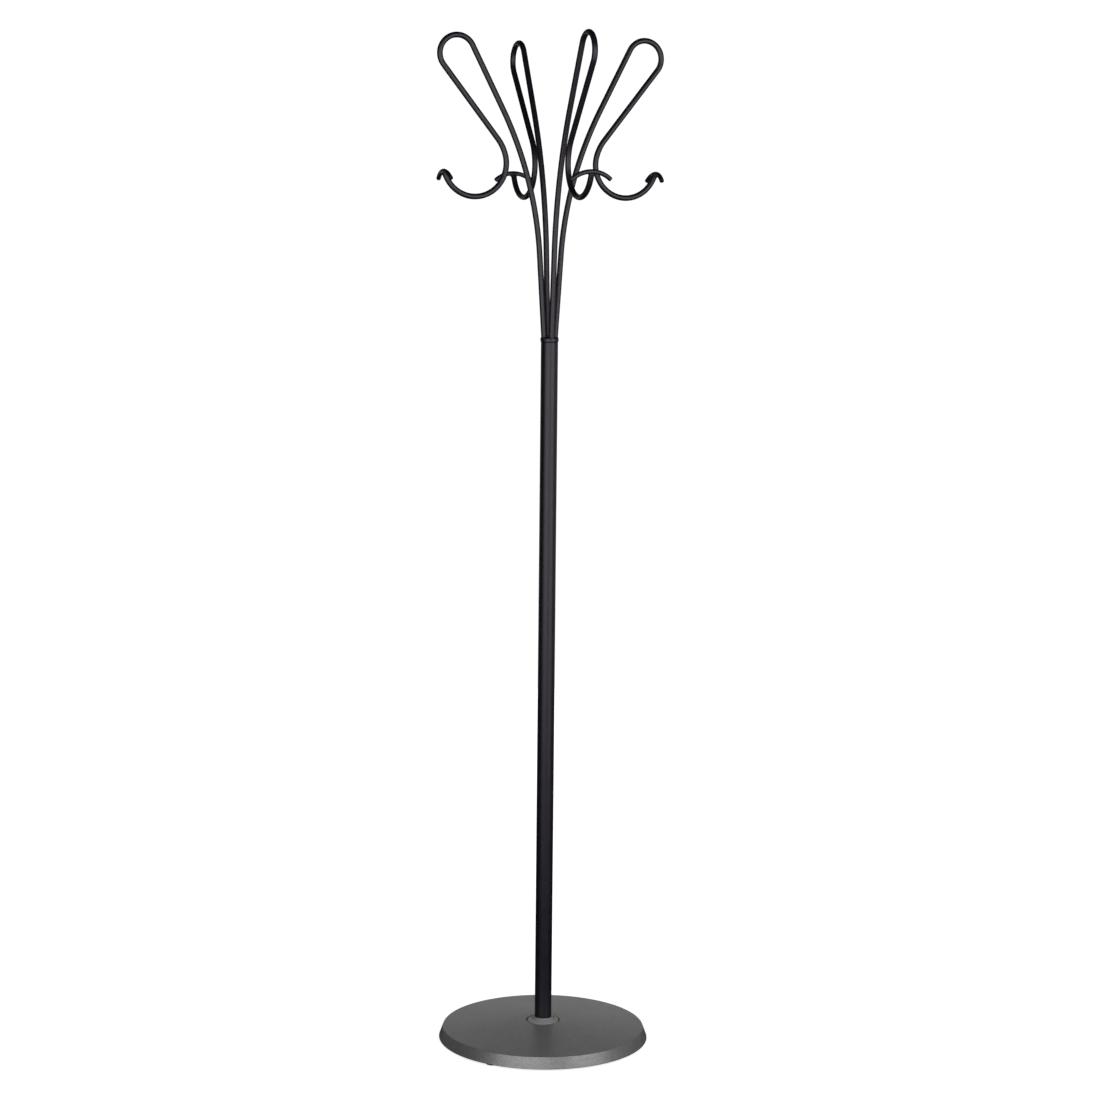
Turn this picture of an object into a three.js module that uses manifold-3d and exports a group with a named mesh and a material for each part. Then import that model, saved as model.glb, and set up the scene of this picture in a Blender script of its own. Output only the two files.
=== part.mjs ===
// Standing coat rack: a weighted round foot, one straight pole, and four bent-rod arms.
// Millimetres, +Z up, standing on z = 0 with the pole on the Z axis and the arms along X and Y.
import * as THREE from "three";
import { mergeVertices } from "three/addons/utils/BufferGeometryUtils.js";
import Module from "manifold-3d";

const wasm = await Module();
wasm.setup();

// ---------- overall sizes ----------
const OVERALL_HEIGHT = 1780; // floor to the top of the arm loops
const BASE_DIAMETER = 375; // across the bottom edge of the foot

// ---------- clearances ----------
const SEAT_GAP = 0.3; // between pieces that sit on or in one another
const BOLT_CLEARANCE = 0.5; // round the bolt in the washers and the ballast

// ---------- arm rod, in its own upright plane ----------
const ARM_COUNT = 4;
const ROD_DIAMETER = 10;
const ROD_OFFSET = 10.3; // rod centre from the pole axis where it leaves the head plug
const ROD_LEAN = 3.75; // degrees outwards from upright at the head plug
const LOWER_STRAIGHT = 140.9;
const SWEEP_RADIUS = 632.7; // the long outward bend
const SWEEP_ANGLE = 23.7;
const UPPER_STRAIGHT = 118.4;
const LOOP_RADIUS = 31; // the hat loop at the very top
const LOOP_ANGLE = 191.2;
const RETURN_STRAIGHT = 156.4;
const NECK_RADIUS = 76.6; // the bend between the return leg and the coat hook
const NECK_ANGLE = 21.7;
const HOOK_RADIUS = 56.7; // the coat hook
const HOOK_ANGLE = 171.1;
const TIP_STRAIGHT = 9;

// ---------- crossbar on the tip of each coat hook ----------
const BAR_DIAMETER = 8;
const BAR_BEND_RADIUS = 52;
const BAR_HALF_ANGLE = 41.6;
const BAR_TILT = 9; // degrees that the bar's plane leans outwards
const BAR_SADDLE = 1.6; // how far the rod's coped end reaches up round the bar

// ---------- pole and head plug ----------
const POLE_DIAMETER = 30;
const POLE_WALL = 1.5;
const HEAD_OVERHANG = 1; // how far the head stands out past the pole, all round
const HEAD_HEIGHT = 8;
const HEAD_ROUND = 3; // rounding of the head's two edges
const SPIGOT_LENGTH = 35;
const SPIGOT_CHAMFER = 1;
const SOCKET_DEPTH = 5;

// ---------- cover of the foot ----------
const RIM_HEIGHT = 20.5; // bottom edge of the cover up to its top edge
const RIM_SLOPE = 7.7; // how far the rim leans in over that height
const CROWN_RISE = 10.6; // top edge of the cover up to its centre
const CROWN_POWER = 1.5; // 1 is a cone, 2 a bowl: the top is between the two
const COVER_WALL = 2;
const EDGE_ROUND = 1.5;

// ---------- collar round the foot of the pole ----------
const COLLAR_WIDTH = 12.7; // bore to outer edge
const COLLAR_REVEAL = 2; // open ring between the collar and the cover
const COLLAR_STAND = 6.6; // inner lip over the outer edge
const COLLAR_EDGE_HEIGHT = 5.3; // outer edge over the collar's seat
const COLLAR_LIP = 2.4;
const COLLAR_CHAMFER = 0.9;
const GROOVE_WIDTH = 1.8;
const GROOVE_DEPTH = 1.2;
const GROOVE_DROP = 3.6; // floor of the groove below the inner lip

// ---------- rubber pads ----------
const PAD_COUNT = 4;
const PAD_DIAMETER = 22;
const PAD_DROP = 5; // how far the pads hold the cover off the floor
const PAD_INSET = 19.5; // pad centre in from the foot's bottom edge
const PAD_FIRST_ANGLE = 38; // degrees from +X
const PAD_SOCKET_DEPTH = 2;
const PAD_CHAMFER = 1;
const BALLAST_RECESS = 1.5; // underside of the ballast above the cover's bottom edge

// ---------- fastening under the foot ----------
const BOLT_DIAMETER = 10;
const BOLT_HEAD_ACROSS_FLATS = 16;
const BOLT_HEAD_HEIGHT = 6.4;
const BOLT_REACH = 30; // shank inside the threaded plug
const WASHER_DIAMETER = 40;
const WASHER_THICKNESS = 3;
const LOCK_WASHER_DIAMETER = 18;
const LOCK_WASHER_THICKNESS = 2.5;
const COUNTERBORE_CLEARANCE = 2; // round the washer
const COUNTERBORE_DEPTH = 13;
const PLUG_LENGTH = 34;

// ---------- facets ----------
const ROUND_SIDES = 64; // large round pieces
const SMALL_SIDES = 32; // pole, plugs, washers, pads
const ROD_SIDES = 12;
const BEND_STEP = 14; // degrees per facet in a tight bend
const SWEEP_STEP = 4; // degrees per facet in the long bend
const CROWN_STEPS = 6; // facets from the collar out to the rim
const TOOL_OVERSHOOT = 1; // how far a cutting tool runs past a face

// ---------- materials ----------
const material = (color, roughness, metalness) =>
  new THREE.MeshStandardMaterial({ color, roughness, metalness });
const BLACK_COAT = material(0x29272b, 0.5, 0.25);
const GREY_COAT = material(0x68686a, 0.65, 0.2);
const GREY_PLASTIC = material(0x77787a, 0.55, 0);
const CONCRETE = material(0x9b978f, 0.95, 0);
const RUBBER = material(0x151515, 0.85, 0);
const ZINC = material(0xb4b7bb, 0.35, 0.9);
const BARE_STEEL = material(0x85878a, 0.4, 0.9);

const rack = new THREE.Group();
rack.name = "standing_coat_rack";

function addPiece(name, geometry, pieceMaterial) {
  const mesh = new THREE.Mesh(geometry, pieceMaterial);
  mesh.name = name;
  rack.add(mesh);
}

// ---------- solids ----------
function toSolid(geometry) {
  const source = geometry.index ? geometry.toNonIndexed() : geometry;
  const bare = new THREE.BufferGeometry();
  bare.setAttribute("position", source.getAttribute("position").clone());
  const merged = mergeVertices(bare, 1e-3);
  return new wasm.Manifold(
    new wasm.Mesh({
      numProp: 3,
      vertProperties: new Float32Array(merged.attributes.position.array),
      triVerts: new Uint32Array(merged.index.array),
    }),
  );
}

function toGeometry(solid) {
  const mesh = solid.getMesh();
  const positions = new Float32Array(mesh.numVert * 3);
  for (let i = 0; i < mesh.numVert; i += 1) {
    const start = i * mesh.numProp;
    positions.set(mesh.vertProperties.subarray(start, start + 3), i * 3);
  }
  const geometry = new THREE.BufferGeometry();
  geometry.setAttribute("position", new THREE.BufferAttribute(positions, 3));
  geometry.setIndex(new THREE.BufferAttribute(new Uint32Array(mesh.triVerts), 1));
  const faceted = geometry.toNonIndexed();
  faceted.computeVertexNormals();
  return faceted;
}

function cut(geometry, ...tools) {
  let solid = toSolid(geometry);
  for (const tool of tools) {
    solid = solid.subtract(toSolid(tool));
  }
  return toGeometry(solid);
}

// A body turned about Z. The profile is [radius, z] pairs, anticlockwise, and is closed here.
function turned(profile, sides) {
  const points = [...profile, profile[0]].map(([r, z]) => new THREE.Vector2(r, z));
  const geometry = new THREE.LatheGeometry(points, sides);
  return geometry.rotateX(Math.PI / 2);
}

// A plain bar along Z.
function bar(radius, low, high, sides = SMALL_SIDES) {
  const geometry = new THREE.CylinderGeometry(radius, radius, high - low, sides);
  geometry.rotateX(Math.PI / 2);
  return geometry.translate(0, 0, (low + high) / 2);
}

// A flat ring along Z.
function ring(inner, outer, low, high) {
  const profile = [
    [inner, low],
    [outer, low],
    [outer, high],
    [inner, high],
  ];
  return turned(profile, SMALL_SIDES);
}

// Three points that round a profile's corner between its two neighbouring points.
function roundedCorner(point, before, after, size) {
  const here = new THREE.Vector2(...point);
  const start = new THREE.Vector2(...before).sub(here).setLength(size).add(here);
  const end = new THREE.Vector2(...after).sub(here).setLength(size).add(here);
  const middle = start.clone().add(end).multiplyScalar(0.25).addScaledVector(here, 0.5);
  return [start, middle, end].map(({ x, y }) => [x, y]);
}

// ---------- bent rods ----------
// The stations of a rod that lies in one plane: x outwards, z up, and the heading in degrees
// from upright, positive outwards.
class BentRod {
  constructor(x, z, heading) {
    this.x = x;
    this.z = z;
    this.heading = heading;
    this.stations = [{ x, z, heading }];
  }

  straight(length) {
    const angle = THREE.MathUtils.degToRad(this.heading);
    this.x += length * Math.sin(angle);
    this.z += length * Math.cos(angle);
    this.stations.push({ x: this.x, z: this.z, heading: this.heading });
    return this;
  }

  // Turns by an angle in degrees, positive outwards and down. A station falls on each
  // multiple of 90 degrees, so that the bend reaches its true height and width.
  bend(radius, turn, step) {
    const end = this.heading + turn;
    const sign = Math.sign(turn);
    const stops = [-180, -90, 0, 90, 180, 270]
      .filter((stop) => sign * (stop - this.heading) > 0 && sign * (end - stop) > 0)
      .sort((a, b) => sign * (a - b));
    for (const stop of [...stops, end]) {
      const pieces = Math.ceil(Math.abs(stop - this.heading) / step);
      const each = (stop - this.heading) / pieces;
      for (let i = 0; i < pieces; i += 1) {
        const from = THREE.MathUtils.degToRad(this.heading);
        const to = THREE.MathUtils.degToRad(this.heading + each);
        this.x += sign * radius * (Math.cos(from) - Math.cos(to));
        this.z += sign * radius * (Math.sin(to) - Math.sin(from));
        this.heading += each;
        this.stations.push({ x: this.x, z: this.z, heading: this.heading });
      }
    }
    return this;
  }
}

// The curve that a rod is extruded along, with one extrusion step between two stations.
class StationCurve extends THREE.Curve {
  constructor(stations) {
    super();
    this.stations = stations;
  }

  station(u) {
    return this.stations[Math.round(u * (this.stations.length - 1))];
  }

  getPointAt(u, target = new THREE.Vector3()) {
    const { x, z } = this.station(u);
    return target.set(x, 0, z);
  }

  getTangentAt(u, target = new THREE.Vector3()) {
    const angle = THREE.MathUtils.degToRad(this.station(u).heading);
    return target.set(Math.sin(angle), 0, Math.cos(angle));
  }
}

function rodGeometry(stations, radius) {
  const corners = [];
  for (let i = 0; i < ROD_SIDES; i += 1) {
    const angle = (i / ROD_SIDES) * 2 * Math.PI;
    corners.push(new THREE.Vector2(radius * Math.cos(angle), radius * Math.sin(angle)));
  }
  return new THREE.ExtrudeGeometry(new THREE.Shape(corners), {
    steps: stations.length - 1,
    bevelEnabled: false,
    extrudePath: new StationCurve(stations),
  });
}

// ---------- levels and radii that several pieces share ----------
const baseRadius = BASE_DIAMETER / 2;
const poleRadius = POLE_DIAMETER / 2;
const boltRadius = BOLT_DIAMETER / 2;
const rodRadius = ROD_DIAMETER / 2;
const barRadius = BAR_DIAMETER / 2;

const coverBottom = PAD_DROP;
const rimTop = coverBottom + RIM_HEIGHT;
const rimTopRadius = baseRadius - RIM_SLOPE;
const crownHeight = (r) => rimTop + CROWN_RISE * (1 - (r / rimTopRadius) ** CROWN_POWER);

const collarBore = poleRadius + SEAT_GAP;
const collarRadius = collarBore + COLLAR_WIDTH;
const coverHole = collarRadius + COLLAR_REVEAL;
const collarEdge = crownHeight(coverHole);
const collarSeat = collarEdge - COLLAR_EDGE_HEIGHT;

const ballastBottom = coverBottom + BALLAST_RECESS;
const boltHole = boltRadius + BOLT_CLEARANCE;
const counterboreTop = ballastBottom + COUNTERBORE_DEPTH;

const padRadius = PAD_DIAMETER / 2;
const padTop = ballastBottom + PAD_SOCKET_DEPTH;
const padPlaces = [];
for (let i = 0; i < PAD_COUNT; i += 1) {
  const angle = THREE.MathUtils.degToRad(PAD_FIRST_ANGLE + (360 * i) / PAD_COUNT);
  const circle = baseRadius - PAD_INSET;
  padPlaces.push([circle * Math.cos(angle), circle * Math.sin(angle)]);
}

const poleBottom = collarSeat + SEAT_GAP;
const poleBore = poleRadius - POLE_WALL;
const plugRadius = poleBore - SEAT_GAP;

// ---------- foot ----------
function crownLine(drop, innerRadius, outerRadius) {
  const line = [];
  for (let i = 0; i <= CROWN_STEPS; i += 1) {
    const r = innerRadius + ((outerRadius - innerRadius) * i) / CROWN_STEPS;
    line.push([r, crownHeight(r) - drop]);
  }
  return line;
}

function makeCover() {
  const outside = crownLine(0, coverHole, rimTopRadius).reverse();
  const inside = crownLine(COVER_WALL, coverHole, rimTopRadius - COVER_WALL);
  const bottomEdge = [baseRadius, coverBottom];
  const profile = [
    [baseRadius - COVER_WALL, coverBottom],
    bottomEdge,
    ...roundedCorner(outside[0], bottomEdge, outside[1], EDGE_ROUND),
    ...outside.slice(1),
    ...inside,
  ];
  return turned(profile, ROUND_SIDES);
}

function makeBallast() {
  const inset = COVER_WALL + SEAT_GAP;
  const lean = (RIM_SLOPE / RIM_HEIGHT) * BALLAST_RECESS;
  const recess = coverHole + SEAT_GAP;
  const counterbore = WASHER_DIAMETER / 2 + COUNTERBORE_CLEARANCE;
  const profile = [
    [boltHole, counterboreTop],
    [counterbore, counterboreTop],
    [counterbore, ballastBottom],
    [baseRadius - inset - lean, ballastBottom],
    ...crownLine(inset, recess, rimTopRadius - inset).reverse(),
    [recess, collarSeat],
    [boltHole, collarSeat],
  ];
  const padSockets = padPlaces.map(([x, y]) => {
    const low = ballastBottom - TOOL_OVERSHOOT;
    return bar(padRadius + SEAT_GAP, low, padTop + SEAT_GAP).translate(x, y, 0);
  });
  return cut(turned(profile, ROUND_SIDES), ...padSockets);
}

function makePad() {
  const profile = [
    [0, 0],
    [padRadius - PAD_CHAMFER, 0],
    [padRadius, PAD_CHAMFER],
    [padRadius, padTop],
    [0, padTop],
  ];
  return turned(profile, SMALL_SIDES);
}

function makeCollar() {
  const lipTop = collarEdge + COLLAR_STAND;
  const lip = collarBore + COLLAR_LIP;
  const grooveFloor = lipTop - GROOVE_DROP;
  const profile = [
    [collarBore, poleBottom],
    [collarRadius, poleBottom],
    [collarRadius, collarEdge - COLLAR_CHAMFER],
    [collarRadius - COLLAR_CHAMFER, collarEdge],
    [lip + GROOVE_WIDTH + COLLAR_CHAMFER, grooveFloor + GROOVE_DEPTH],
    [lip + GROOVE_WIDTH, grooveFloor],
    [lip, grooveFloor],
    [lip, lipTop - COLLAR_CHAMFER],
    [lip - COLLAR_CHAMFER, lipTop],
    [collarBore, lipTop],
  ];
  return turned(profile, ROUND_SIDES);
}

addPiece("base_cover", makeCover(), GREY_COAT);
addPiece("base_ballast", makeBallast(), CONCRETE);
addPiece("base_collar", makeCollar(), GREY_PLASTIC);
padPlaces.forEach(([x, y], i) => {
  addPiece(`foot_pad_${i + 1}`, makePad().translate(x, y, 0), RUBBER);
});

// ---------- fastening under the foot ----------
const washerTop = counterboreTop - SEAT_GAP;
const lockWasherTop = washerTop - WASHER_THICKNESS - SEAT_GAP;
const boltHeadTop = lockWasherTop - LOCK_WASHER_THICKNESS - SEAT_GAP;

function makeWasher(diameter, thickness, top) {
  return ring(boltHole, diameter / 2, top - thickness, top);
}

function makeBolt() {
  const cornerRadius = BOLT_HEAD_ACROSS_FLATS / Math.sqrt(3);
  const head = bar(cornerRadius, boltHeadTop - BOLT_HEAD_HEIGHT, boltHeadTop, 6);
  const shank = bar(boltRadius, boltHeadTop - TOOL_OVERSHOOT, poleBottom + BOLT_REACH);
  return toGeometry(toSolid(head).add(toSolid(shank)));
}

addPiece("base_washer", makeWasher(WASHER_DIAMETER, WASHER_THICKNESS, washerTop), ZINC);
addPiece(
  "lock_washer",
  makeWasher(LOCK_WASHER_DIAMETER, LOCK_WASHER_THICKNESS, lockWasherTop),
  ZINC,
);
addPiece("base_bolt", makeBolt(), ZINC);

// ---------- the line of an arm, starting on the head plug's top face ----------
const armLine = new BentRod(ROD_OFFSET, 0, ROD_LEAN)
  .straight(LOWER_STRAIGHT)
  .bend(SWEEP_RADIUS, SWEEP_ANGLE, SWEEP_STEP)
  .straight(UPPER_STRAIGHT)
  .bend(LOOP_RADIUS, LOOP_ANGLE, BEND_STEP)
  .straight(RETURN_STRAIGHT)
  .bend(NECK_RADIUS, -NECK_ANGLE, BEND_STEP)
  .bend(HOOK_RADIUS, -HOOK_ANGLE, BEND_STEP)
  .straight(TIP_STRAIGHT);

const armRise = Math.max(...armLine.stations.map(({ z }) => z));
const headTop = OVERALL_HEIGHT - rodRadius - armRise;
const headBottom = headTop - HEAD_HEIGHT;

// A station on the rod's straight lower end, or on that line carried on below the head's top.
function lowerStation(z) {
  const slope = Math.tan(THREE.MathUtils.degToRad(ROD_LEAN));
  return { x: ROD_OFFSET + (z - headTop) * slope, z, heading: ROD_LEAN };
}

const armAngle = (index) => (index * 2 * Math.PI) / ARM_COUNT;
const socketFloor = headTop - SOCKET_DEPTH;

// ---------- head plug and pole ----------
function makeHead() {
  const headRadius = poleRadius + HEAD_OVERHANG;
  const spigotBottom = headBottom - SPIGOT_LENGTH;
  const under = [plugRadius, headBottom];
  const low = [headRadius, headBottom];
  const high = [headRadius, headTop];
  const centre = [0, headTop];
  const profile = [
    [0, spigotBottom],
    [plugRadius - SPIGOT_CHAMFER, spigotBottom],
    [plugRadius, spigotBottom + SPIGOT_CHAMFER],
    under,
    ...roundedCorner(low, under, high, HEAD_OVERHANG),
    ...roundedCorner(high, low, centre, HEAD_ROUND),
    centre,
  ];
  const sockets = [];
  for (let i = 0; i < ARM_COUNT; i += 1) {
    const ends = [lowerStation(socketFloor), lowerStation(headTop + HEAD_HEIGHT)];
    sockets.push(rodGeometry(ends, rodRadius + SEAT_GAP).rotateZ(armAngle(i)));
  }
  return cut(turned(profile, SMALL_SIDES), ...sockets);
}

addPiece("head_plug", makeHead(), BLACK_COAT);
addPiece(
  "pole_tube",
  ring(poleBore, poleRadius, poleBottom, headBottom - SEAT_GAP),
  BLACK_COAT,
);
addPiece(
  "pole_foot_plug",
  ring(boltRadius + SEAT_GAP, plugRadius, poleBottom, poleBottom + PLUG_LENGTH),
  BARE_STEEL,
);

// ---------- arms and crossbars ----------
function makeCrossbar(radius) {
  const tip = armLine.stations[armLine.stations.length - 1];
  const tipAngle = THREE.MathUtils.degToRad(tip.heading);
  const reach = barRadius + SEAT_GAP - BAR_SADDLE;
  const arch = new BentRod(0, 0, 90 - BAR_HALF_ANGLE);
  arch.bend(BAR_BEND_RADIUS, 2 * BAR_HALF_ANGLE, BEND_STEP);
  const rise = Math.max(...arch.stations.map(({ z }) => z));
  return rodGeometry(arch.stations, radius)
    .translate(-arch.x / 2, 0, -rise)
    .rotateZ(Math.PI / 2)
    .rotateY(THREE.MathUtils.degToRad(BAR_TILT))
    .translate(
      tip.x + reach * Math.sin(tipAngle),
      0,
      headTop + tip.z + reach * Math.cos(tipAngle),
    );
}

function makeArm() {
  const raised = armLine.stations.slice(1);
  const stations = [
    lowerStation(socketFloor + SEAT_GAP),
    ...raised.map(({ x, z, heading }) => ({ x, z: z + headTop, heading })),
  ];
  return cut(rodGeometry(stations, rodRadius), makeCrossbar(barRadius + SEAT_GAP));
}

for (let i = 0; i < ARM_COUNT; i += 1) {
  addPiece(`arm_${i + 1}`, makeArm().rotateZ(armAngle(i)), BLACK_COAT);
  addPiece(`crossbar_${i + 1}`, makeCrossbar(barRadius).rotateZ(armAngle(i)), BLACK_COAT);
}

export default rack;
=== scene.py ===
"""Looks of the standing coat rack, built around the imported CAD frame. Metres, +Z up."""

import math

import bmesh
import bpy
from mathutils import Matrix, Vector


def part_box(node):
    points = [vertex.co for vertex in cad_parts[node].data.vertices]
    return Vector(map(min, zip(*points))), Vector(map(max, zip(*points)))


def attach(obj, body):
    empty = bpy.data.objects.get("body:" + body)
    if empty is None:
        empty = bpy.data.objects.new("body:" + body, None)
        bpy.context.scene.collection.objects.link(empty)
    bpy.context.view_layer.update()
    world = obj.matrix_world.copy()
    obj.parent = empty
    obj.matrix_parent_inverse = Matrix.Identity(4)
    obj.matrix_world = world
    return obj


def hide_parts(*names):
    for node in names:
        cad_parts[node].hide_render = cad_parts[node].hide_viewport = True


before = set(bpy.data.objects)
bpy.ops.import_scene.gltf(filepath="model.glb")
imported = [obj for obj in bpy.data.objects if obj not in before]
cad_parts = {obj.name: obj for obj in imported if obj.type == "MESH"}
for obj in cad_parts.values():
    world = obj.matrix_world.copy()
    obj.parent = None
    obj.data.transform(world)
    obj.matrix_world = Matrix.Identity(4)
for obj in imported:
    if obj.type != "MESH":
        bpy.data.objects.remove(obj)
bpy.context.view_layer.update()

MM = 0.001

# ---------- the arm's line, in its own upright plane (mm and degrees) ----------
ROD_OFFSET = 10.3
ROD_LEAN = 3.75
LOWER_STRAIGHT = 140.9
SWEEP_RADIUS = 632.7
SWEEP_ANGLE = 23.7
UPPER_STRAIGHT = 118.4
LOOP_RADIUS = 31
LOOP_ANGLE = 191.2
RETURN_STRAIGHT = 156.4
NECK_RADIUS = 76.6
NECK_ANGLE = 21.7
HOOK_RADIUS = 56.7
HOOK_ANGLE = 171.1
TIP_STRAIGHT = 9
ROD_RADIUS = 5
SOCKET_DEPTH = 4.7

# ---------- crossbars (mm and degrees) ----------
BAR_RADIUS = 4
BAR_BEND_RADIUS = 52
BAR_HALF_ANGLE = 41.6
BAR_TILT = 9
BAR_REACH = 2.7  # from the end of the rod's line to the bar's own line
BAR_END_ROUND = 0.7
ROD_END_ROUND = 0.3

# ---------- welds (mm, and shares of a bead's thickness) ----------
TIP_WELD_SIZE = 1.5
HEAD_WELD_SIZE = 0.8
WELD_RIPPLES = 11
RIPPLE_SHARE = 0.14  # how much thicker a bead is at the crest of a ripple
SWELL_SHARE = 0.05  # how much a bead's thickness changes once round
SWELL_START = 1  # radians
TIP_WELD_REACH = 4.1  # from the rod's line to the bead's, in the arm's plane
TIP_WELD_SPREAD = 0.9  # further out than that at the rod's two sides
TIP_WELD_SINK = 0.2  # the bead's line starts this far before the rod's end
TIP_WELD_SAG = 1.5  # and further back at the rod's two sides, where the bar curves away
HEAD_WELD_STAND = 0.1  # the bead's line outside the rod, and its depth in the head

# ---------- pole and head (mm) ----------
POLE_WALL = 1.5
SPIGOT_INSET = 1.8  # from the pole's outside to the head's spigot
HEAD_HEIGHT = 8
HEAD_ROUND = 3

# ---------- foot (mm and degrees) ----------
RIM_HEIGHT = 20.5
RIM_SLOPE = 7.7
CROWN_RISE = 10.6
CROWN_POWER = 1.5
COVER_WALL = 2
BALLAST_RECESS = 1.5
BALLAST_GAP = 0.3
COUNTERBORE_RADIUS = 22
COUNTERBORE_DEPTH = 13
BOLT_HOLE_RADIUS = 5.5
COLLAR_WIDTH = 12.7
COLLAR_REVEAL = 2  # the open ring between the collar and the cover
COLLAR_LIP = 2.4
COLLAR_STAND = 6.6
GROOVE_WIDTH = 1.8
GROOVE_DEPTH = 1.2
GROOVE_DROP = 3.6
GROOVE_SLOPE = 0.9
PAD_RECESS = 0.5
PAD_RING = 4  # width of the ring that the pad stands on
BOLT_RADIUS = 5
BOLT_HEAD_HEIGHT = 6.4
BOLT_ACROSS_FLATS = 16
BOLT_EDGE = 0.25
BOLT_SEAT = 0.5  # how far the shank starts inside the bolt head
CHAMFER_START = 0.96  # radius of the chamfer's face, as a share of half the flats
CHAMFER_HEIGHT = 1.6
CHAMFER_ANGLE = 60
SPRING_GAP = 9  # degrees cut out of the spring washer
SPRING_RISE = 0.2
SPRING_INSET = 0.1

# ---------- fineness (counts, and degrees for the steps of a bend) ----------
LARGE_SIDES = 256
POLE_SIDES = 128
SMALL_SIDES = 72
ROD_SIDES = 40
HEX_SIDES = 144
WELD_SIDES = 14
BEND_STEP = 3
SWEEP_STEP = 1
BAR_STEP = 2
STRAIGHT_STEPS = 8
TIP_STEPS = 2
END_STEPS = 4
CORNER_STEPS = 6
CROWN_STEPS = 24
BALLAST_STEPS = 8
HEAD_STEPS = 10
CHAMFER_STEPS = 12
SPRING_STEPS = 96
WELD_STEPS = 88
SHARP_ANGLE = 38  # degrees between faces, above which an edge is shaded sharp
MERGE_DISTANCE = 1e-7  # metres
ON_AXIS = 1e-6  # mm; a profile's point nearer than this lies on the axis


# ---------- mesh helpers ----------
def new_piece(name, vertices, faces, material, slot, *nodes):
    """One closed mesh piece that rides on the only body and stands for the CAD nodes named."""
    mesh = bpy.data.meshes.new(name)
    mesh.from_pydata(vertices, [], faces)
    mesh.validate()
    piece = bpy.data.objects.new(name, mesh)
    bpy.context.scene.collection.objects.link(piece)
    tidy = bmesh.new()
    tidy.from_mesh(mesh)
    bmesh.ops.remove_doubles(tidy, verts=tidy.verts, dist=MERGE_DISTANCE)
    bmesh.ops.recalc_face_normals(tidy, faces=tidy.faces)
    tidy.to_mesh(mesh)
    tidy.free()
    mesh.shade_smooth()
    mesh.set_sharp_from_angle(angle=math.radians(SHARP_ANGLE))
    mesh.materials.append(material)
    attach(piece, "root")
    if nodes:
        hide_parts(*nodes)
    return piece


def weigh_normals(piece):
    """Keeps flat faces flat next to their rounded edges."""
    weighted = piece.modifiers.new("weighted normals", "WEIGHTED_NORMAL")
    weighted.keep_sharp = True


def rounded(corners, steps=CORNER_STEPS):
    """A closed profile in mm. A corner is (r, z), or (r, z, radius) where it is rounded."""
    points = []
    count = len(corners)
    for i, corner in enumerate(corners):
        here = Vector(corner[:2])
        if len(corner) == 2:
            points.append(tuple(here))
            continue
        radius = corner[2]
        to_before = (Vector(corners[i - 1][:2]) - here).normalized()
        to_after = (Vector(corners[(i + 1) % count][:2]) - here).normalized()
        half = math.acos(max(-1, min(1, to_before.dot(to_after)))) / 2
        reach = radius / math.tan(half)
        centre = here + (to_before + to_after).normalized() * radius / math.sin(half)
        start = here + to_before * reach - centre
        end = here + to_after * reach - centre
        turn = start.angle_signed(end)
        for k in range(steps + 1):
            angle = -turn * k / steps
            cosine, sine = math.cos(angle), math.sin(angle)
            x = start.x * cosine - start.y * sine
            y = start.x * sine + start.y * cosine
            points.append((centre.x + x, centre.y + y))
    return points


def turned(profile, sides, centre=(0, 0), outline=None):
    """Vertices and faces of a closed profile, in mm, turned about an upright axis at centre.

    outline(r, z, angle) gives the radius where the piece isn't round.
    """
    vertices = []
    rows = []
    for r, z in profile:
        if r < ON_AXIS:
            rows.append([len(vertices)] * sides)
            vertices.append((centre[0] * MM, centre[1] * MM, z * MM))
            continue
        row = []
        for k in range(sides):
            angle = 2 * math.pi * k / sides
            radius = r if outline is None else outline(r, z, angle)
            row.append(len(vertices))
            x = centre[0] + radius * math.cos(angle)
            y = centre[1] + radius * math.sin(angle)
            vertices.append((x * MM, y * MM, z * MM))
        rows.append(row)
    faces = []
    for low, high in zip(rows, rows[1:] + rows[:1]):
        for k in range(sides):
            n = (k + 1) % sides
            corners = []
            for index in (low[k], low[n], high[n], high[k]):
                if index not in corners:
                    corners.append(index)
            if len(corners) > 2:
                faces.append(corners)
    return vertices, faces


class BentRod:
    """The line of a rod in one plane: x outwards, z up, heading in degrees from upright."""

    def __init__(self, x, z, heading):
        self.x, self.z, self.heading = x, z, heading
        self.stations = [(x, z, heading)]

    def straight(self, length, steps):
        angle = math.radians(self.heading)
        for _ in range(steps):
            self.x += length / steps * math.sin(angle)
            self.z += length / steps * math.cos(angle)
            self.stations.append((self.x, self.z, self.heading))

    def bend(self, radius, turn, step):
        """Turns by turn degrees in steps of about step degrees.

        A station falls wherever the rod is level or upright, so that its box is exact.
        """
        sign = math.copysign(1, turn)
        end = self.heading + turn
        quarters = [90 * sign * i for i in (-2, -1, 0, 1, 2)]
        stops = [stop for stop in quarters if 0 < sign * (stop - self.heading) < abs(turn)]
        for stop in stops + [end]:
            pieces = math.ceil(abs(stop - self.heading) / step)
            each = (stop - self.heading) / pieces
            for _ in range(pieces):
                before = math.radians(self.heading)
                after = math.radians(self.heading + each)
                self.x += sign * radius * (math.cos(before) - math.cos(after))
                self.z += sign * radius * (math.sin(after) - math.sin(before))
                self.heading += each
                self.stations.append((self.x, self.z, self.heading))


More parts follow.
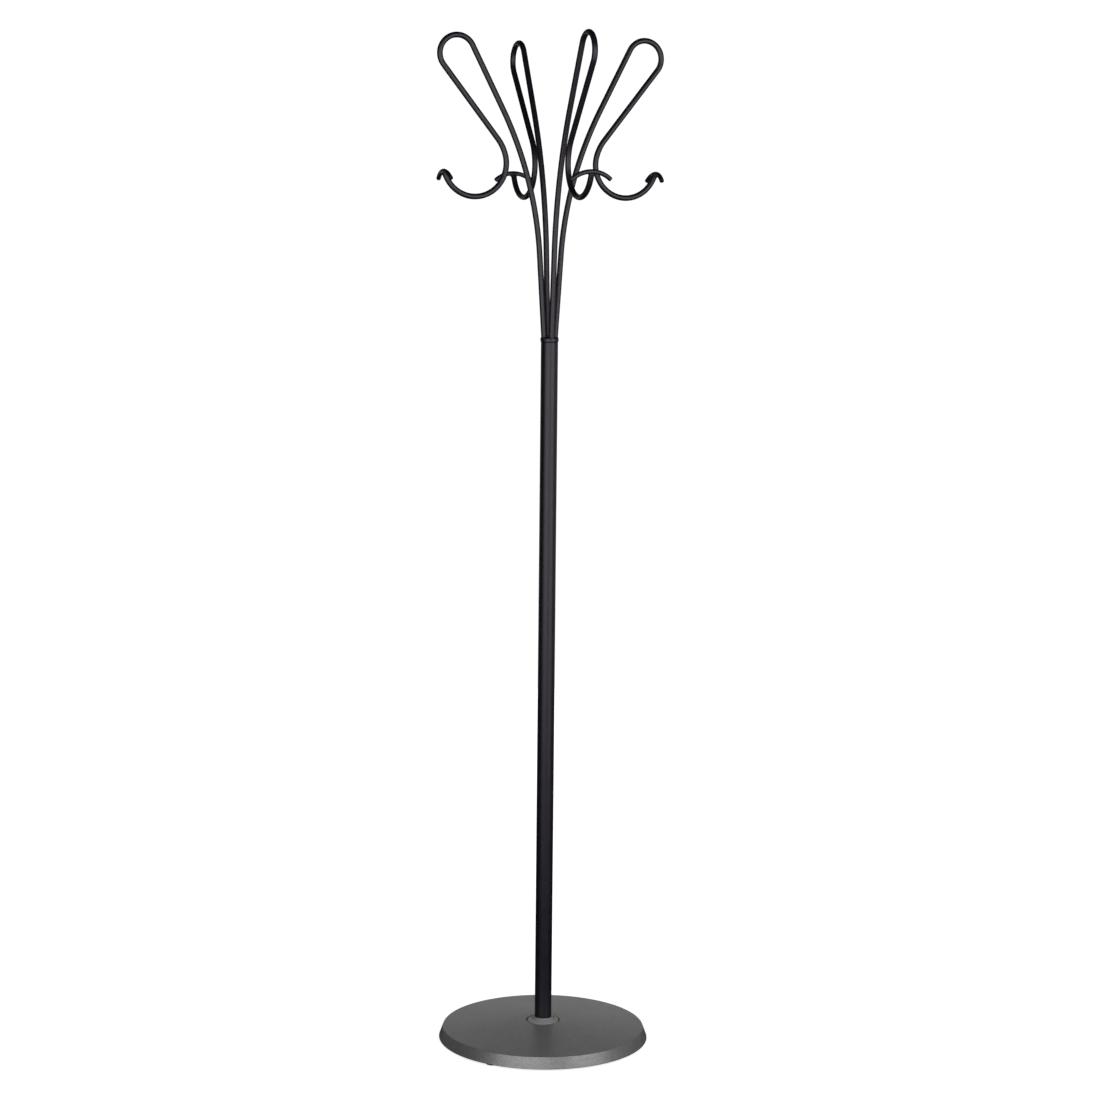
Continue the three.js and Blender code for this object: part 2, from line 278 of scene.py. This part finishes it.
def swept(stations, radius, end_round):
    """A round rod along stations in the XZ plane, in mm, with rounded ends."""
    sides = ROD_SIDES
    last_end = []
    for k in range(END_STEPS + 1):
        angle = math.radians(90 * k / END_STEPS)
        size = radius - end_round * (1 - math.cos(angle))
        shift = end_round * math.sin(angle) - end_round
        last_end.append((stations[-1], size, shift))
    first_end = [(stations[0], size, -shift) for _, size, shift in reversed(last_end)]
    middle = [(station, radius, 0) for station in stations[1:-1]]
    rings = first_end + middle + last_end
    vertices = []
    for (x, z, heading), size, shift in rings:
        angle = math.radians(heading)
        along = Vector((math.sin(angle), 0, math.cos(angle)))
        across = Vector((math.cos(angle), 0, -math.sin(angle)))
        centre = Vector((x, 0, z)) + along * shift
        for k in range(sides):
            turn = 2 * math.pi * k / sides
            point = centre + across * size * math.cos(turn) + Vector((0, size * math.sin(turn), 0))
            vertices.append(tuple(point * MM))
    faces = [list(range(sides))]
    for row in range(len(rings) - 1):
        for k in range(sides):
            n = (k + 1) % sides
            a, b = row * sides, (row + 1) * sides
            faces.append([a + k, a + n, b + n, b + k])
    faces.append(list(range((len(rings) - 1) * sides, len(rings) * sides)))
    return vertices, faces


def moved(shape, matrix):
    """The vertices and faces of shape, moved by matrix."""
    vertices, faces = shape
    return [tuple(matrix @ Vector(v)) for v in vertices], faces


# ---------- materials ----------
class Surface:
    """A Principled material built from nodes, in object coordinates (metres)."""

    def __init__(self, name, roughness, metallic=0.0):
        self.material = bpy.data.materials.new(name)
        self.material.use_nodes = True
        self.tree = self.material.node_tree
        self.shader = self.tree.nodes["Principled BSDF"]
        self.shader.inputs["Roughness"].default_value = roughness
        self.shader.inputs["Metallic"].default_value = metallic
        self.coordinates = self.tree.nodes.new("ShaderNodeTexCoord").outputs["Object"]

    def link(self, source, node, socket):
        self.tree.links.new(source, node.inputs[socket])

    def noise(self, size, detail, stretch=(1, 1, 1)):
        """Noise whose blotches are about size mm across."""
        place = self.tree.nodes.new("ShaderNodeMapping")
        place.inputs["Scale"].default_value = [value / (size * MM) for value in stretch]
        self.link(self.coordinates, place, "Vector")
        node = self.tree.nodes.new("ShaderNodeTexNoise")
        node.inputs["Scale"].default_value = 1.0
        node.inputs["Detail"].default_value = detail
        self.link(place.outputs["Vector"], node, "Vector")
        return node.outputs["Fac"]

    def cells(self, size):
        """Distance to the nearest of scattered points about size mm apart."""
        place = self.tree.nodes.new("ShaderNodeMapping")
        place.inputs["Scale"].default_value = [1 / (size * MM)] * 3
        self.link(self.coordinates, place, "Vector")
        node = self.tree.nodes.new("ShaderNodeTexVoronoi")
        node.inputs["Scale"].default_value = 1.0
        self.link(place.outputs["Vector"], node, "Vector")
        return node.outputs["Distance"]

    def ramp(self, source, *stops):
        """Maps source through (position, value) stops; a value is a grey or an RGB triple."""
        node = self.tree.nodes.new("ShaderNodeValToRGB")
        self.link(source, node, "Fac")
        elements = node.color_ramp.elements
        while len(elements) < len(stops):
            elements.new(0.5)
        for element, (position, value) in zip(elements, stops):
            element.position = position
            colour = value if isinstance(value, tuple) else (value, value, value)
            element.color = (*colour, 1)
        return node.outputs["Color"]

    def shaded(self, first, second, amount=1.0):
        """The colour first, darkened or lightened by multiplying it with second."""
        node = self.tree.nodes.new("ShaderNodeMix")
        node.data_type = "RGBA"
        node.blend_type = "MULTIPLY"
        node.inputs["Factor"].default_value = amount
        self.link(first, node, "A")
        self.link(second, node, "B")
        return node.outputs["Result"]

    def colour(self, source):
        self.link(source, self.shader, "Base Color")

    def rough(self, source):
        self.link(source, self.shader, "Roughness")

    def relief(self, *layers):
        """Stacks bumps: each layer is (height source, depth in mm, strength)."""
        normal = None
        for source, depth, strength in layers:
            node = self.tree.nodes.new("ShaderNodeBump")
            node.inputs["Strength"].default_value = strength
            node.inputs["Distance"].default_value = depth * MM
            self.link(source, node, "Height")
            if normal is not None:
                self.link(normal, node, "Normal")
            normal = node.outputs["Normal"]
        self.link(normal, self.shader, "Normal")


def black_coat():
    """Satin near-black powder coat with a fine orange-peel skin."""
    surface = Surface("black powder coat", 0.40)
    surface.shader.inputs["Specular Tint"].default_value = (0.96, 0.90, 1.0, 1)
    peel = surface.noise(0.9, detail=2)
    cloud = surface.noise(18, detail=3)
    speck = surface.noise(0.35, detail=1)
    tone = surface.ramp(cloud, (0.3, (0.0060, 0.0046, 0.0078)), (0.7, (0.0085, 0.0065, 0.0110)))
    grain = surface.ramp(speck, (0.35, 0.80), (0.65, 1.0))
    surface.colour(surface.shaded(tone, grain, 0.6))
    surface.rough(surface.ramp(cloud, (0.25, 0.36), (0.75, 0.44)))
    surface.relief((peel, 0.10, 0.5), (speck, 0.03, 0.3))
    return surface.material


def grey_coat():
    """Grey metallic powder coat with a sandy, slightly sparkling texture."""
    surface = Surface("grey textured coat", 0.4, metallic=0.45)
    sand = surface.noise(2.6, detail=2)
    grit = surface.noise(1.2, detail=2)
    cloud = surface.noise(70, detail=3)
    fleck = surface.noise(1.6, detail=1)
    tone = surface.ramp(cloud, (0.3, (0.234, 0.234, 0.234)), (0.7, (0.258, 0.258, 0.257)))
    grain = surface.ramp(fleck, (0.32, 0.66), (0.45, 0.93), (0.60, 1.0), (0.72, 1.30))
    surface.colour(surface.shaded(tone, grain))
    surface.rough(surface.ramp(grit, (0.3, 0.32), (0.7, 0.44)))
    surface.relief((sand, 0.32, 0.6), (grit, 0.15, 0.5))
    return surface.material


def grey_plastic():
    """Satin moulded plastic with a spark-eroded skin."""
    surface = Surface("grey moulded plastic", 0.45)
    skin = surface.noise(0.6, detail=3)
    cloud = surface.noise(12, detail=2)
    tone = surface.ramp(cloud, (0.3, (0.235, 0.235, 0.236)), (0.7, (0.265, 0.265, 0.265)))
    surface.colour(tone)
    surface.rough(surface.ramp(skin, (0.3, 0.40), (0.7, 0.52)))
    surface.relief((skin, 0.03, 0.4))
    return surface.material


def concrete():
    """Cast concrete with pores, sand and faint staining; the pores are darkened in colour as
    painted shade in the pits.
    """
    surface = Surface("cast concrete", 0.9)
    stain = surface.noise(45, detail=5)
    sand = surface.noise(1.6, detail=5)
    pore = surface.cells(7)
    tone = surface.ramp(stain, (0.25, (0.150, 0.147, 0.140)), (0.75, (0.220, 0.215, 0.204)))
    grain = surface.ramp(sand, (0.25, 0.72), (0.75, 1.0))
    # pore mask: its dark centres darken the colour as painted shade in the pits, and the same mask
    # gives the pits their bump depth
    pore_depth_and_shade = surface.ramp(pore, (0.05, 0.35), (0.14, 1.0))
    surface.colour(surface.shaded(surface.shaded(tone, grain), pore_depth_and_shade))
    surface.rough(surface.ramp(sand, (0.2, 0.82), (0.8, 0.97)))
    surface.relief((pore_depth_and_shade, 0.8, 0.6), (sand, 0.25, 0.5))
    return surface.material


def rubber():
    """Black rubber with a dusty, finely pitted skin."""
    surface = Surface("black rubber", 0.75)
    dust = surface.noise(4, detail=4)
    pit = surface.noise(0.5, detail=3)
    surface.colour(surface.ramp(dust, (0.35, (0.010, 0.010, 0.010)), (0.8, (0.030, 0.029, 0.027))))
    surface.rough(surface.ramp(dust, (0.3, 0.68), (0.7, 0.85)))
    surface.relief((pit, 0.05, 0.5))
    return surface.material


def zinc():
    """Bright zinc plate with fine brushing and a faint blue-yellow cast."""
    surface = Surface("zinc plate", 0.3, metallic=1.0)
    brushed = surface.noise(0.35, detail=3, stretch=(1, 8, 1))
    cast = surface.noise(6, detail=3)
    surface.colour(surface.ramp(cast, (0.3, (0.56, 0.58, 0.62)), (0.7, (0.66, 0.65, 0.60))))
    surface.rough(surface.ramp(brushed, (0.3, 0.24), (0.7, 0.40)))
    surface.relief((brushed, 0.02, 0.3))
    return surface.material


def bare_steel():
    """Turned steel with fine tool rings and a thin film of oil."""
    surface = Surface("turned steel", 0.35, metallic=1.0)
    rings = surface.noise(0.3, detail=2, stretch=(0.05, 0.05, 1))
    film = surface.noise(5, detail=3)
    surface.colour(surface.ramp(film, (0.3, (0.30, 0.30, 0.31)), (0.7, (0.40, 0.39, 0.38))))
    surface.rough(surface.ramp(film, (0.3, 0.28), (0.7, 0.42)))
    surface.relief((rings, 0.03, 0.4))
    return surface.material


BLACK = black_coat()
GREY = grey_coat()
PLASTIC = grey_plastic()
CONCRETE = concrete()
RUBBER = rubber()
ZINC = zinc()
STEEL = bare_steel()


# ---------- sizes read from the frame, in mm ----------
def span(node):
    low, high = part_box(node)
    return low / MM, high / MM


cover_low, cover_high = span("base_cover")
ballast_low, _ = span("base_ballast")
collar_low, collar_high = span("base_collar")
pole_low, pole_high = span("pole_tube")
head_low, head_high = span("head_plug")
bolt_low, bolt_high = span("base_bolt")

base_radius = cover_high.x
cover_bottom = cover_low.z
rim_top = cover_bottom + RIM_HEIGHT
rim_top_radius = base_radius - RIM_SLOPE
head_radius = head_high.x
head_top = head_high.z
pole_radius = pole_high.x
hex_corner = BOLT_ACROSS_FLATS / math.sqrt(3)
cover_hole = collar_high.x + COLLAR_REVEAL


def crown(r):
    """Height of the cover's crowned top at radius r."""
    return rim_top + CROWN_RISE * (1 - (r / rim_top_radius) ** CROWN_POWER)


def crown_line(drop, inner, outer, steps=CROWN_STEPS):
    """Points drop below the crowned top, from the radius inner to the radius outer."""
    radii = [inner + (outer - inner) * i / steps for i in range(steps + 1)]
    return [(r, crown(r) - drop) for r in radii]


# ---------- foot ----------
def make_cover():
    outside = crown_line(0, cover_hole, rim_top_radius)[::-1]
    inside = crown_line(COVER_WALL, cover_hole, rim_top_radius - COVER_WALL)
    corners = [
        (base_radius - COVER_WALL, cover_bottom, 0.6),
        (base_radius, cover_bottom, 0.9),
        (*outside[0], 2.4),
        *outside[1:-1],
        (*outside[-1], 0.7),
        (*inside[0], 0.5),
        *inside[1:],
    ]
    shape = turned(rounded(corners), LARGE_SIDES)
    weigh_normals(new_piece("foot_cover", *shape, GREY, "grey_coat", "base_cover"))


def make_ballast():
    inset = COVER_WALL + BALLAST_GAP
    bottom = ballast_low.z
    bore_top = bottom + COUNTERBORE_DEPTH
    seat = collar_low.z - BALLAST_GAP
    recess = cover_hole + BALLAST_GAP
    top = crown_line(inset, recess, rim_top_radius - inset, BALLAST_STEPS)[::-1]
    bottom_radius = base_radius - inset - RIM_SLOPE / RIM_HEIGHT * BALLAST_RECESS
    corners = [
        (BOLT_HOLE_RADIUS, bore_top),
        (COUNTERBORE_RADIUS, bore_top),
        (COUNTERBORE_RADIUS, bottom, 1.2),
        (bottom_radius, bottom, 1.0),
        *top,
        (recess, seat),
        (BOLT_HOLE_RADIUS, seat),
    ]
    shape = turned(rounded(corners), LARGE_SIDES)
    weigh_normals(new_piece("ballast_disc", *shape, CONCRETE, "concrete", "base_ballast"))


def make_collar():
    bore = collar_high.x - COLLAR_WIDTH
    top = collar_high.z
    edge = top - COLLAR_STAND
    lip = bore + COLLAR_LIP
    floor = top - GROOVE_DROP
    corners = [
        (bore, collar_low.z),
        (collar_high.x, collar_low.z, 0.5),
        (collar_high.x, edge, 1.4),
        (lip + GROOVE_WIDTH + GROOVE_SLOPE, floor + GROOVE_DEPTH, 1.0),
        (lip + GROOVE_WIDTH, floor, 0.5),
        (lip, floor, 0.5),
        (lip, top, 0.9),
        (bore, top, 0.4),
    ]
    shape = turned(rounded(corners), LARGE_SIDES)
    weigh_normals(new_piece("pole_collar", *shape, PLASTIC, "grey_plastic", "base_collar"))


def make_pads():
    for i in range(1, 5):
        low, high = span(f"foot_pad_{i}")
        centre = ((low.x + high.x) / 2, (low.y + high.y) / 2)
        radius = (high.x - low.x) / 2
        corners = [
            (0, PAD_RECESS),
            (radius - PAD_RING - PAD_RECESS, PAD_RECESS, 0.4),
            (radius - PAD_RING, 0, 0.3),
            (radius, 0, 1.6),
            (radius, high.z),
            (0, high.z),
        ]
        shape = turned(rounded(corners), SMALL_SIDES, centre)
        weigh_normals(new_piece(f"rubber_pad_{i}", *shape, RUBBER, "rubber", f"foot_pad_{i}"))


def hexagon(r, z, angle):
    """Radius of the hexagonal bolt head, chamfered towards its lower face."""
    sector = math.radians(60)
    turn = (angle + sector / 2) % sector - sector / 2
    flat = BOLT_ACROSS_FLATS / 2 / math.cos(turn)
    chamfer_slope = math.tan(math.radians(CHAMFER_ANGLE))
    chamfer = BOLT_ACROSS_FLATS / 2 * CHAMFER_START + (z - bolt_low.z) * chamfer_slope
    return min(flat * r / hex_corner, chamfer)


def make_bolt():
    low = bolt_low.z
    head = low + BOLT_HEAD_HEIGHT
    levels = [low + CHAMFER_HEIGHT * k / CHAMFER_STEPS for k in range(CHAMFER_STEPS + 1)]
    side = [(hex_corner, z) for z in levels + [head - BOLT_EDGE]]
    profile = [(0, low), *side, (hex_corner - BOLT_EDGE, head), (0, head)]
    shape = turned(profile, HEX_SIDES, outline=hexagon)
    weigh_normals(new_piece("bolt_head", *shape, ZINC, "zinc", "base_bolt"))
    corners = [
        (0, head - BOLT_SEAT),
        (BOLT_RADIUS, head - BOLT_SEAT),
        (BOLT_RADIUS, bolt_high.z, 1.0),
        (0, bolt_high.z),
    ]
    shape = turned(rounded(corners), SMALL_SIDES)
    weigh_normals(new_piece("bolt_shank", *shape, ZINC, "zinc"))


def make_washers():
    bore = BOLT_HOLE_RADIUS
    low, high = span("base_washer")
    corners = [
        (bore, low.z, 0.3),
        (high.x, low.z, 0.6),
        (high.x, high.z, 0.3),
        (bore, high.z, 0.3),
    ]
    shape = turned(rounded(corners), LARGE_SIDES)
    weigh_normals(new_piece("flat_washer", *shape, ZINC, "zinc", "base_washer"))
    low, high = span("lock_washer")
    bottom, top = low.z + SPRING_INSET, high.z - SPRING_INSET
    section = [(bore, bottom), (high.x, bottom), (high.x, top), (bore, top)]
    vertices, faces = [], []
    for k in range(SPRING_STEPS + 1):
        angle = math.radians(360 - SPRING_GAP) * k / SPRING_STEPS
        shift = SPRING_RISE * (k / SPRING_STEPS - 0.5)
        for r, z in section:
            vertices.append((r * math.cos(angle) * MM, r * math.sin(angle) * MM, (z + shift) * MM))
    for k in range(SPRING_STEPS):
        for corner in range(4):
            n = (corner + 1) % 4
            a, b = 4 * k, 4 * (k + 1)
            faces.append([a + corner, a + n, b + n, b + corner])
    faces += [[0, 1, 2, 3], [4 * SPRING_STEPS + corner for corner in range(4)]]
    new_piece("spring_washer", vertices, faces, ZINC, "zinc", "lock_washer")


# ---------- pole and head ----------
def make_pole():
    corners = [
        (pole_radius - POLE_WALL, pole_low.z),
        (pole_radius, pole_low.z, 0.4),
        (pole_radius, pole_high.z, 0.6),
        (pole_radius - POLE_WALL, pole_high.z),
    ]
    shape = turned(rounded(corners), POLE_SIDES)
    weigh_normals(new_piece("pole", *shape, BLACK, "black_coat", "pole_tube"))


def make_head():
    spigot_radius = pole_radius - SPIGOT_INSET
    bottom = head_top - HEAD_HEIGHT
    corners = [
        (0, head_low.z),
        (spigot_radius, head_low.z, 0.8),
        (spigot_radius, bottom),
        (head_radius, bottom, 1.6),
        (head_radius, head_top, HEAD_ROUND),
        (0, head_top),
    ]
    shape = turned(rounded(corners, steps=HEAD_STEPS), POLE_SIDES)
    weigh_normals(new_piece("head_ring", *shape, BLACK, "black_coat", "head_plug"))


def head_surface(radius):
    """Height of the head's top at a distance from its axis: flat, then rounded off."""
    over = max(0, radius - (head_radius - HEAD_ROUND))
    return head_top - HEAD_ROUND + math.sqrt(max(0, HEAD_ROUND**2 - over**2))


def make_bead(name, path, size):
    """A weld bead: a ring of varying thickness along a closed path of (centre, outward, up)."""
    sides = WELD_SIDES
    vertices, faces = [], []
    for k, (centre, outward, up) in enumerate(path):
        share = k / len(path)
        ripple = RIPPLE_SHARE * abs(math.sin(math.pi * WELD_RIPPLES * share))
        swell = SWELL_SHARE * math.sin(2 * math.pi * share + SWELL_START)
        scale = 1 + ripple + swell
        for j in range(sides):
            turn = 2 * math.pi * j / sides
            point = centre + (outward * math.cos(turn) + up * math.sin(turn)) * size * scale
            vertices.append(tuple(point * MM))
    count = len(path)
    for k in range(count):
        n = (k + 1) % count
        for j in range(sides):
            m = (j + 1) % sides
            faces.append([k * sides + j, k * sides + m, n * sides + m, n * sides + j])
    new_piece(name, vertices, faces, BLACK, "black_coat")


# ---------- arms ----------
arm_line = BentRod(ROD_OFFSET, head_top, ROD_LEAN)
arm_line.straight(LOWER_STRAIGHT, STRAIGHT_STEPS)
arm_line.bend(SWEEP_RADIUS, SWEEP_ANGLE, SWEEP_STEP)
arm_line.straight(UPPER_STRAIGHT, STRAIGHT_STEPS)
arm_line.bend(LOOP_RADIUS, LOOP_ANGLE, BEND_STEP)
arm_line.straight(RETURN_STRAIGHT, STRAIGHT_STEPS)
arm_line.bend(NECK_RADIUS, -NECK_ANGLE, BEND_STEP)
arm_line.bend(HOOK_RADIUS, -HOOK_ANGLE, BEND_STEP)
arm_line.straight(TIP_STRAIGHT, TIP_STEPS)
lean = math.tan(math.radians(ROD_LEAN))
arm_start = (ROD_OFFSET - SOCKET_DEPTH * lean, head_top - SOCKET_DEPTH, ROD_LEAN)
arm_stations = [arm_start] + arm_line.stations


def bar_matrix():
    """Takes a bar that arches along X, with its crown at the origin, to the tip of the +X arm."""
    x, z, heading = arm_line.stations[-1]
    angle = math.radians(heading)
    along = Vector((math.sin(angle), 0, math.cos(angle)))
    crown_point = (Vector((x, 0, z)) + along * BAR_REACH) * MM
    tilt = Matrix.Rotation(math.radians(BAR_TILT), 4, "Y")
    across = Matrix.Rotation(math.pi / 2, 4, "Z")
    return Matrix.Translation(crown_point) @ tilt @ across


def bar_shape():
    """The crossbar of the +X arm."""
    arch = BentRod(0, 0, 90 - BAR_HALF_ANGLE)
    arch.bend(BAR_BEND_RADIUS, 2 * BAR_HALF_ANGLE, BAR_STEP)
    rise = max(z for x, z, heading in arch.stations)
    middle = arch.stations[-1][0] / 2
    stations = [(x - middle, z - rise, heading) for x, z, heading in arch.stations]
    return moved(swept(stations, BAR_RADIUS, BAR_END_ROUND), bar_matrix())


def tip_weld_path():
    """Round the end of the rod, under the crossbar."""
    x, z, heading = arm_line.stations[-1]
    angle = math.radians(heading)
    along = Vector((math.sin(angle), 0, math.cos(angle)))
    across = Vector((math.cos(angle), 0, -math.sin(angle)))
    end = Vector((x, 0, z))
    path = []
    for k in range(WELD_STEPS):
        turn = 2 * math.pi * k / WELD_STEPS
        side = abs(math.sin(turn))
        outward = across * math.cos(turn) + Vector((0, math.sin(turn), 0))
        reach = TIP_WELD_REACH + TIP_WELD_SPREAD * side
        drop = -TIP_WELD_SINK - TIP_WELD_SAG * side * side
        path.append((end + outward * reach + along * drop, outward, along))
    return path


def head_weld_path():
    """Round the foot of the rod, and never past the head's side."""
    path = []
    for k in range(WELD_STEPS):
        turn = 2 * math.pi * k / WELD_STEPS
        outward = Vector((math.cos(turn), math.sin(turn), 0))
        place = Vector((ROD_OFFSET, 0, 0)) + outward * (ROD_RADIUS + HEAD_WELD_STAND)
        place *= min(1, (head_radius - HEAD_WELD_SIZE) / place.length)
        place.z = head_surface(place.length) - HEAD_WELD_STAND
        path.append((place, outward, Vector((0, 0, 1))))
    return path


def make_arms():
    rod = swept(arm_stations, ROD_RADIUS, ROD_END_ROUND)
    bar = bar_shape()
    welds = [
        ("tip_weld", tip_weld_path(), TIP_WELD_SIZE),
        ("head_weld", head_weld_path(), HEAD_WELD_SIZE),
    ]
    for i in range(4):
        about = Matrix.Rotation(math.radians(90 * i), 4, "Z")
        number = i + 1
        shape = moved(rod, about)
        new_piece(f"bent_rod_{number}", *shape, BLACK, "black_coat", f"arm_{number}")
        shape = moved(bar, about)
        new_piece(f"tip_bar_{number}", *shape, BLACK, "black_coat", f"crossbar_{number}")
        for name, path, size in welds:
            turned_path = [tuple(about @ v for v in station) for station in path]
            make_bead(f"{name}_{number}", turned_path, size)


make_cover()
make_ballast()
make_collar()
make_pads()
make_bolt()
make_washers()
make_pole()
make_head()
make_arms()
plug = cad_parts["pole_foot_plug"]
plug.data.materials.clear()
plug.data.materials.append(STEEL)

# ---------- camera ----------
FOCAL_LENGTH = 85.13
CAMERA_DISTANCE = 4.537
CAMERA_HEIGHT = 1.491
CAMERA_AZIMUTH = 20.31  # degrees that the camera stands round from the -Y side towards -X
CAMERA_PITCH = 7.56
CAMERA_YAW = -0.056
CAMERA_ROLL = 0.562


def make_camera():
    data = bpy.data.cameras.new("camera")
    data.sensor_width = 36
    data.lens = FOCAL_LENGTH
    data.clip_end = 100
    camera = bpy.data.objects.new("camera", data)
    bpy.context.scene.collection.objects.link(camera)
    about = math.radians(-CAMERA_AZIMUTH)
    place = Matrix.Rotation(about, 4, "Z") @ Vector((0, -CAMERA_DISTANCE, 0))
    place.z = CAMERA_HEIGHT
    turn = (
        Matrix.Rotation(about + math.radians(CAMERA_YAW), 4, "Z")
        @ Matrix.Rotation(math.radians(90 - CAMERA_PITCH), 4, "X")
        @ Matrix.Rotation(math.radians(CAMERA_ROLL), 4, "Z")
    )
    camera.matrix_world = Matrix.Translation(place) @ turn
    bpy.context.scene.camera = camera


# ---------- light ----------
FRONT_LIGHT = 2.05
GLOW_LIGHT = 1.0
SIDE_LIGHT = 0.4
BACKDROP_LIGHT = 0.44
BACK_LIGHT = 0.33
TOP_LIGHT = 0.2
BACKDROP_WHITE = 1.05
STUDIO_FILL = 0.004
FLOOR_RADIUS = 6.0
FLOOR_SIDES = 128
FLOOR_SHINE = 0.1
FLOOR_GLOW = ((0.2, 0.80), (1.0, 1.0))  # (metres from the axis, strength)


def softbox(name, azimuth, distance, width, low, high, radiance, aim):
    """An area light whose edges are low and high above the floor, tipped towards the height aim.

    Azimuth is in degrees to the right of the camera's side; lengths are in metres.
    """
    data = bpy.data.lights.new(name, "AREA")
    data.shape = "RECTANGLE"
    data.size = width
    data.size_y = high - low
    data.energy = radiance * math.pi * data.size * data.size_y
    lamp = bpy.data.objects.new(name, data)
    bpy.context.scene.collection.objects.link(lamp)
    turn = math.radians(azimuth - 90 - CAMERA_AZIMUTH)
    lamp.location = (distance * math.cos(turn), distance * math.sin(turn), (low + high) / 2)
    lamp.rotation_euler = (Vector((0, 0, aim)) - lamp.location).to_track_quat("-Z", "Y").to_euler()
    lamp.visible_camera = False


def make_lights():
    softbox("front left softbox", -20, 2.0, 2.35, 0.2, 2.2, FRONT_LIGHT, aim=1.3)
    softbox("front right softbox", 47, 2.0, 1.75, 0.2, 2.2, FRONT_LIGHT, aim=1.3)
    softbox("upper glow", 18, 1.9, 3.8, 1.3, 2.2, GLOW_LIGHT, aim=1.6)
    softbox("right fill", 108, 2.6, 1.8, 0.3, 2.4, SIDE_LIGHT, aim=1.2)
    softbox("low backdrop", 180, 3.4, 8.6, 0.0, 0.9, BACKDROP_LIGHT, aim=0.2)
    softbox("back softbox", -165, 3.2, 4.4, 0.2, 1.4, BACK_LIGHT, aim=0.2)
    softbox("back top softbox", -170, 3.0, 4.4, 1.8, 3.0, TOP_LIGHT, aim=0.9)


def make_world():
    """White to the camera and nearly dark to everything else, like a sweep in a dark studio."""
    world = bpy.data.worlds.new("studio")
    bpy.context.scene.world = world
    world.use_nodes = True
    tree = world.node_tree
    tree.nodes.clear()
    rays = tree.nodes.new("ShaderNodeLightPath")
    seen = tree.nodes.new("ShaderNodeBackground")
    seen.inputs["Color"].default_value = (1, 1, 1, 1)
    seen.inputs["Strength"].default_value = BACKDROP_WHITE
    fill = tree.nodes.new("ShaderNodeBackground")
    fill.inputs["Color"].default_value = (1, 1, 1, 1)
    fill.inputs["Strength"].default_value = STUDIO_FILL
    mix = tree.nodes.new("ShaderNodeMixShader")
    out = tree.nodes.new("ShaderNodeOutputWorld")
    tree.links.new(rays.outputs["Is Camera Ray"], mix.inputs[0])
    tree.links.new(fill.outputs[0], mix.inputs[1])
    tree.links.new(seen.outputs[0], mix.inputs[2])
    tree.links.new(mix.outputs[0], out.inputs[0])


def make_floor():
    """A pale studio floor that glows more with distance, so that it meets the backdrop."""
    mesh = bpy.data.meshes.new("floor")
    turns = [2 * math.pi * k / FLOOR_SIDES for k in range(FLOOR_SIDES)]
    rim = [(FLOOR_RADIUS * math.cos(turn), FLOOR_RADIUS * math.sin(turn), 0) for turn in turns]
    mesh.from_pydata(rim, [], [list(range(FLOOR_SIDES))])
    floor = bpy.data.objects.new("floor", mesh)
    bpy.context.scene.collection.objects.link(floor)
    surface = Surface("pale floor", 0.8)
    cloud = surface.noise(300, detail=3)
    surface.colour(surface.ramp(cloud, (0.3, (0.86, 0.86, 0.86)), (0.7, (0.90, 0.90, 0.90))))
    distance = surface.tree.nodes.new("ShaderNodeVectorMath")
    distance.operation = "LENGTH"
    surface.link(surface.coordinates, distance, 0)
    glow = surface.ramp(distance.outputs["Value"], *FLOOR_GLOW)
    surface.link(glow, surface.shader, "Emission Strength")
    surface.shader.inputs["Specular IOR Level"].default_value = FLOOR_SHINE
    surface.shader.inputs["Emission Color"].default_value = (1, 1, 1, 1)
    mesh.materials.append(surface.material)
    floor.visible_glossy = False
    floor.visible_diffuse = False


make_camera()
make_lights()
make_world()
make_floor()
bpy.context.scene.view_settings.view_transform = "Standard"
